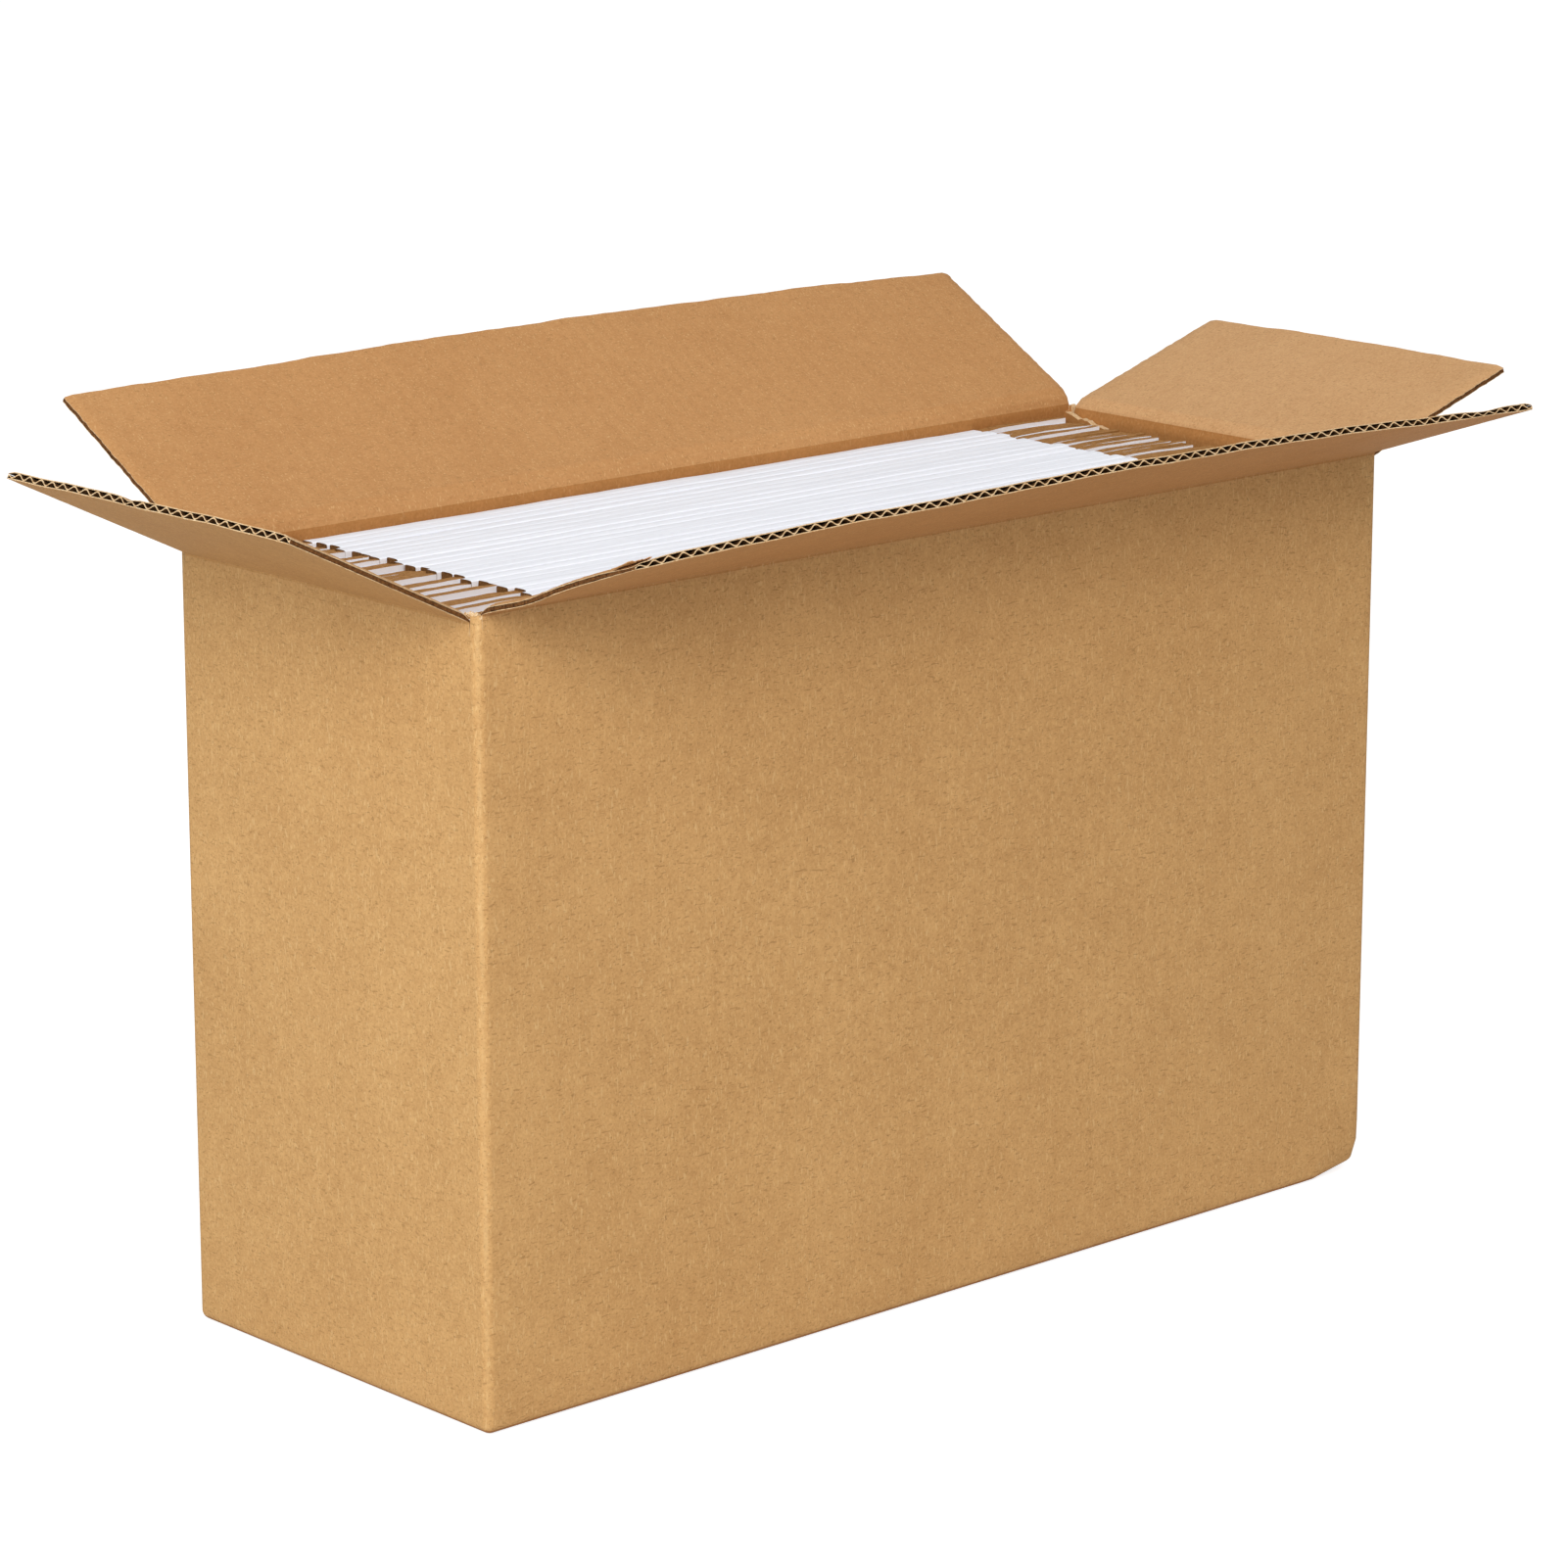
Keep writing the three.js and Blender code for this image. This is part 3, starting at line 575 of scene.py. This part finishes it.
def lid_flap(name, half_span, outward, along, kind, bow, peak, seed, dents=(), sag=0.0, fray=0.2,
             scraps=()):
    """A flap from 5 mm below its crease to its cut edge. Across is the distance along the crease, u the
    distance from it; the bow lifts the edge most at its peak, dents press the flutes flat, the sag is a
    hollow near the crease at the first end, and scraps are strips of the inside liner torn loose."""
    rise_angle = math.radians(180 + hinges[name]["range_deg"][0])
    # Both grids are closer near the crease, the liners' more so than the medium's
    fine = np.concatenate([np.linspace(-CREASE_BELOW, 6, 29), np.linspace(6, TIP_REACH, 46)[1:]])
    coarse = np.concatenate([np.linspace(-CREASE_BELOW, 6, 12), np.linspace(6, TIP_REACH, 9)[1:]])
    origin = hinge_place[name]
    outward, along, up = np.array(outward, float), np.array(along, float), np.array([0, 0, 1.0])
    flap_line = np.array([math.cos(rise_angle), math.sin(rise_angle)])[:, None, None]
    peak_power = math.log(0.5) / math.log(peak)

    def surface(u, across_count, level, layer):
        """Points of one layer: level is 0 at the outside face and 1 at the inside face of the board. The
        layers' ends are frayed by up to half a millimetre, each in its own way."""
        p, q, normal_out, normal_up = flap_section(u, rise_angle)
        v = np.linspace(0, 1, across_count)[None, :]
        ragged = smooth(u / 8)[:, None]
        first = -half_span + ragged * (0.25 * ripple(u, seed + 1, first=0.4)
                                       + fray * ripple(u, seed + 7 + layer, first=1.1))[:, None]
        last = half_span + ragged * (0.25 * ripple(u, seed + 2, first=0.4)
                                     + 0.2 * ripple(u, seed + 9 + layer, first=1.1))[:, None]
        across = first + (last - first) * v
        edge = 0.25 * ripple(across, seed + 3, first=0.15) * smooth((u - 60) / 20)[:, None]
        share = np.clip(u / TIP_REACH, 0, 1)[:, None]
        lift = bow * share ** 1.4 * np.sin(math.pi * v ** peak_power)
        lift = lift + 0.5 * share * ripple(across / 40, seed + 4, count=4)
        lift = lift - sag * np.exp(-((share - 0.3) / 0.18) ** 2) * np.exp(-(v / 0.1) ** 2)
        pressed = CRUSH * np.exp(-(u / CRUSH_WIDTH) ** 2)[:, None] + 0 * v
        pressed = pressed + SIDE_PRESS * np.exp(-(np.minimum(v, 1 - v) * half_span) ** 2)
        for place, width, press in dents:
            pressed = pressed + press * np.exp(-((v - place) / width) ** 2) * smooth((share - 0.75) / 0.25)
        thickness = BOARD * (1 - np.clip(pressed, 0, 0.8))
        ridge = RIDGE * (np.exp(-((u - RIDGE_AT) / RIDGE_WIDTH) ** 2))[:, None]
        depth = CREASE_DEPTH - (thickness + ridge) * level(across)
        out = p[:, None] + normal_out[:, None] * (depth - lift)
        rise_by = q[:, None] + normal_up[:, None] * (depth - lift)
        stretch = edge * flap_line
        out, rise_by = out + stretch[0], rise_by + stretch[1]
        return origin + outward * out[..., None] + along * across[..., None] + up * rise_by[..., None]

    flutes = int(2 * half_span / FLUTE_PITCH)
    liner, medium = LINER / BOARD, MEDIUM / BOARD
    swing = 0.5 - liner - medium / 2
    closing = np.zeros(8 * flutes + 1)
    closing[[0, -1]] = swing

    def wave(s, side):
        """Level of one face of the medium: a sine from liner to liner, spread to close the two side edges."""
        centre = 0.5 + swing * np.sin(2 * math.pi * s / FLUTE_PITCH) * (closing == 0)
        spread = closing * (0.8 + 0.2 * ripple(s * 0 + coarse[:, None], seed + 5, first=0.5))
        return centre + side * (medium / 2 + spread)

    # Face kinds: 0 outside, 1 inside, 2 cut edge, 3 medium, 4 wall outside, 5 wall inside, 6 side edge
    shells = []
    for u, count, top_level, low_level, sides, layer in (
        (fine, 2 * flutes + 1, lambda s: 0 * s, lambda s: liner + 0 * s, (0, 3, 2), 0),
        (fine, 2 * flutes + 1, lambda s: 1 - liner + 0 * s, lambda s: 1 + 0 * s, (3, 1, 2), 1),
        (coarse, 8 * flutes + 1, lambda s: wave(s, -1), lambda s: wave(s, 1), (3, 3, 2), 2),
    ):
        points, faces, kinds = sheet_between(surface(u, count, top_level, layer),
                                             surface(u, count, low_level, layer))
        kinds = np.array(sides)[kinds]
        from_crease = np.repeat(u, count)[faces[:, 0] % (len(u) * count)]
        kinds = np.where((from_crease < INSIDE_STRIP[kind]) & (kinds == 1), 5, kinds)
        kinds = np.where((from_crease < OUTSIDE_STRIP) & (kinds == 0), 4, kinds)
        if layer == 2:
            # The rim's faces go round in turn: crease end, last side, cut edge, first side
            kinds[-(len(u) - 1):] = 6
            kinds[-(2 * len(u) + count - 3):-(len(u) + count - 2)] = 6
        shells.append((points, faces, kinds))
    for first, last, near, far, curl in scraps:
        # A torn strip lifts from the flap by the square of its share of the way to its ragged end
        a = np.linspace(first, last, 12)[None, :]
        b = np.linspace(near, far, 7)[:, None]
        p, q, normal_out, normal_up = flap_section(b[:, 0], rise_angle)
        share = (b - near) / (far - near)
        loose = CREASE_DEPTH - BOARD + 0.7 - curl * share ** 2 * (0.6 + 0.4 * ripple(a, seed, first=0.6))
        ends = b + 1.2 * ripple(a, seed + 2, first=0.8) * share
        path = (ends - b) * flap_line
        out = p[:, None] + normal_out[:, None] * loose + path[0]
        rise_by = q[:, None] + normal_up[:, None] * loose + path[1]
        scrap = origin + outward * out[..., None] + along * (a + 0 * b)[..., None] + up * rise_by[..., None]
        points, faces = sheet_between(scrap, scrap + up * LINER_SCRAP)[:2]
        shells.append((points, faces, np.full(len(faces), 1)))
    piece = make_piece(name + "_board", shells, [flap_outside_painted_shade[kind], flap_inside_painted_light_shade[kind], cut_paper,
                                                 medium_paper_painted_shade, wall_paper, inner_paper_painted_shade, side_paper_painted_shade])
    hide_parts(name)
    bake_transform(piece)


LONG_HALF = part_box("front_flap")[1][0] / MM
SHORT_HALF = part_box("left_flap")[1][1] / MM
lid_flap("front_flap", LONG_HALF, (0, -1, 0), (1, 0, 0), "long", bow=3.8, peak=0.52, seed=21,
         dents=((0.94, 0.02, 0.35), (0.0, 0.02, 0.3)), sag=1.2, fray=0.6,
         scraps=((-219, -210, 71, 80.5, 1.0),))
lid_flap("back_flap", LONG_HALF, (0, 1, 0), (1, 0, 0), "long", bow=3.6, peak=0.6, seed=31)
lid_flap("left_flap", SHORT_HALF, (-1, 0, 0), (0, 1, 0), "short", bow=0.6, peak=0.5, seed=41,
         dents=((0.56, 0.018, 0.4),))
lid_flap("right_flap", SHORT_HALF, (1, 0, 0), (0, 1, 0), "short", bow=0.8, peak=0.5, seed=51)

# Flat folded cartons. Each is a glued blank of white-faced board, folded flat and stood on its fold. At both
# ends slots part its own flaps, so the two layers stand free there and show their brown insides.
FLAP_ZONE = 46.0
SLOT_DEPTH = 3.9
LAYER = 2.8
# The fold swells past the two layers by this much, and its corners are rounded and its slit opened so far
FOLD_SWELL = 0.3
FOLD_CORNER = 0.9
SLIT_HALF, SLIT_OPENING = 0.2, 3.2
# One carton's left flap is cut lower at its slot, and three stand out at the right, by their numbers
NOTCHED, NOTCH_DEPTH = 2, 3.4
RAISED = {0: 0.9, 24: 1.1, 22: 0.5}
TOP_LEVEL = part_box("flat_carton_01")[1][2] / MM


def white_liner(name):
    """White clay-coated paper over flutes: nearly even, with faint grey lines of painted washboard shade
    along the flutes.
    """
    material, tree, output = new_material(name)
    place = add(tree, "ShaderNodeTexCoord").outputs["Object"]
    # The lines, painted shade of the flute washboard with a matching bump, are about 2 mm apart across the
    # cartons and run on for 300 mm
    long = add(tree, "ShaderNodeMapping", {"Scale": (3, 420, 60)}, Vector=place)
    streak = add(tree, "ShaderNodeTexNoise", {"Scale": 1.0, "Detail": 3.0}, Vector=long.outputs[0])
    base = add(tree, "ShaderNodeValToRGB", None, Fac=streak.outputs["Fac"])
    base.color_ramp.elements[0].position, base.color_ramp.elements[1].position = 0.3, 0.6
    base.color_ramp.elements[0].color = linear("#ebeef5")
    base.color_ramp.elements[1].color = linear("#f3f6fd")
    rough = add(tree, "ShaderNodeBump", {"Strength": 0.3, "Distance": 0.0001}, Height=streak.outputs["Fac"])
    shader = add(tree, "ShaderNodeBsdfPrincipled", {"Roughness": 0.55, "Specular IOR Level": 0.35},
                 Base_Color=base.outputs["Color"], Normal=rough.outputs[0])
    tree.links.new(shader.outputs[0], output.inputs["Surface"])
    return material


# The coated side is smooth and white, the inside plain brown painted deeper as the shade between the layers,
# the cut edges a little paler, and the open ends of the flutes painted dark as the shade inside them
white_paper = white_liner("white_coated_liner")
# The inside brown is the board's own, painted deeper as shade in the narrow gap between the two layers
carton_inside_painted_shade = raw_paper("kraft_liner_carton_inside", "#a5753f", "#855a2e", 300.0)
carton_edge = raw_paper("kraft_carton_cut_edge", "#b48652", "#8a5f34")
carton_flutes_painted_shade = raw_paper("kraft_carton_open_flutes", "#7d5833", "#4c3219", 1400.0)


def folded_middle(x0, x1, y, z0, z1, seed):
    """The folded stretch between the slots: a closed loop of board carried along the flutes. Its outline is
    a tall rectangle with pressed round folds, its hollow a thin slit that opens a little under each fold."""
    half = LAYER + FOLD_SWELL
    arc = np.linspace(0, math.pi / 2, 6)
    round_y, round_z = 1 - np.cos(arc) ** 0.5, np.sin(arc) ** 0.5
    side = np.linspace(0, 1, 7)[1:-1]
    top_z, low_z = z1 - FOLD_CORNER, z0 + FOLD_CORNER
    outer_y = np.concatenate([half * (1 - round_y), -half * (1 - round_y[-2::-1]), np.full(5, -half),
                              -half * (1 - round_y), half * (1 - round_y[-2::-1]), np.full(5, half)])
    outer_z = np.concatenate([top_z + FOLD_CORNER * round_z, top_z + FOLD_CORNER * round_z[-2::-1],
                              top_z + (low_z - top_z) * side, low_z - FOLD_CORNER * round_z,
                              low_z - FOLD_CORNER * round_z[-2::-1], low_z + (top_z - low_z) * side])
    hollow_y = np.clip(outer_y, -SLIT_HALF, SLIT_HALF)
    hollow_y = hollow_y * (1 + SLIT_OPENING * np.exp(-((z1 - 3.6 - outer_z) / 2.5) ** 2))
    hollow_z = np.clip(outer_z, z0 + LAYER - 0.6, z1 - LAYER + 0.7)
    x = np.linspace(x0, x1, 40)
    wander = 0.12 * ripple(x / 30, seed, count=4)[:, None] * smooth((outer_z - z1 + 30) / 30)[None, :]
    sink = 0.18 * ripple(x / 22, seed + 1, count=4)[:, None] * smooth((outer_z - z1 + 5) / 4)[None, :]
    shape = (len(x), len(outer_y))
    run = np.broadcast_to(x[:, None], shape)
    skin = np.stack([run, y + outer_y[None] + wander, outer_z[None] + sink], -1)
    hole = np.stack([run, y + hollow_y[None] + wander, np.broadcast_to(hollow_z[None], shape)], -1)
    loop = np.concatenate([skin, hole[::-1]])
    faces = grid_faces(len(loop), shape[1], True, True)
    kinds = np.zeros((len(loop), shape[1]), int)
    kinds[len(x):] = 1
    # The two end faces take the open flutes' dark brown, which is painted shade
    kinds[len(x) - 1] = kinds[-1] = 3
    return loop.reshape(-1, 3), faces, kinds.reshape(-1)


def end_layer(x_root, x_end, y, outside, z0, z1, lean, drop, notch, seed):
    """One layer's end flap beyond the slots: a board that leans a little. Its top edge dips at the slot's
    root, where it may be cut lower, and drops towards its end by the square of the way."""
    u = np.concatenate([np.linspace(0, 0.25, 9), np.linspace(0.25, 1, 9)[1:]])[None, :]
    v = np.linspace(0, 1, 15)[:, None]
    dip = (1.2 if x_end > x_root else 0.2) * (1 - u) ** 10
    dip = dip + drop * u ** 2 + notch * (1 - smooth((u - 0.19) / 0.02))
    height = z0 + (z1 - dip - z0) * v + 0.12 * ripple(u * 9, seed, count=3) * v
    sway = lean * u ** 1.6 * v ** 2
    grid = np.stack([x_root + (x_end - x_root) * u + 0 * v, y + sway, height + 0 * u], -1)
    return thin_sheet(grid, LAYER - 0.1, np.array([0, float(outside), 0]) + 0 * grid)


carton_nodes = sorted(name for name in frame["nodes"] if name.startswith("flat_carton"))
for number, name in enumerate(carton_nodes):
    (x0, y0, z0), (x1, y1, z1) = [[value / MM for value in corner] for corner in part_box(name)]
    draw = np.random.default_rng(100 + number)
    middle = (y0 + y1) / 2
    z1 = TOP_LEVEL + 0.5 * (z1 - TOP_LEVEL)
    shells = [folded_middle(x0 + FLAP_ZONE, x1 - FLAP_ZONE, middle, z0, z1, 200 + number)]
    # A carton's end flaps stand higher or lower as it was packed, each layer a little differently
    tall = 0.9 * math.sin(2.4 * number + 1) + 0.5 * (draw.random() - 0.5)
    for end, root, tip in ((-1, x0 + FLAP_ZONE, x0), (1, x1 - FLAP_ZONE, x1)):
        for outside in (-1, 1):
            level = z1 + 0.2 * (draw.random() - 0.5)
            if end < 0:
                level += tall - 1.2 - 0.25 * outside
            else:
                level += 0.4 * tall - 1.3 - 0.1 * outside + RAISED.get(number, 0)
            notch = NOTCH_DEPTH if (number, end, outside) == (NOTCHED, -1, -1) else 0
            lean = 0.4 * (draw.random() - 0.5)
            drop = 1.0 * draw.random()
            shells.append(end_layer(root, tip, middle + outside * (LAYER / 2 + 0.2), outside,
                                    z0 + SLOT_DEPTH, level, lean, drop, notch, 300 + 4 * number + outside))
    carton = make_piece(name + "_folded", shells, [white_paper, carton_inside_painted_shade, carton_edge, carton_flutes_painted_shade])
    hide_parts(name)
    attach(carton, "carton")

bpy.context.view_layer.update()
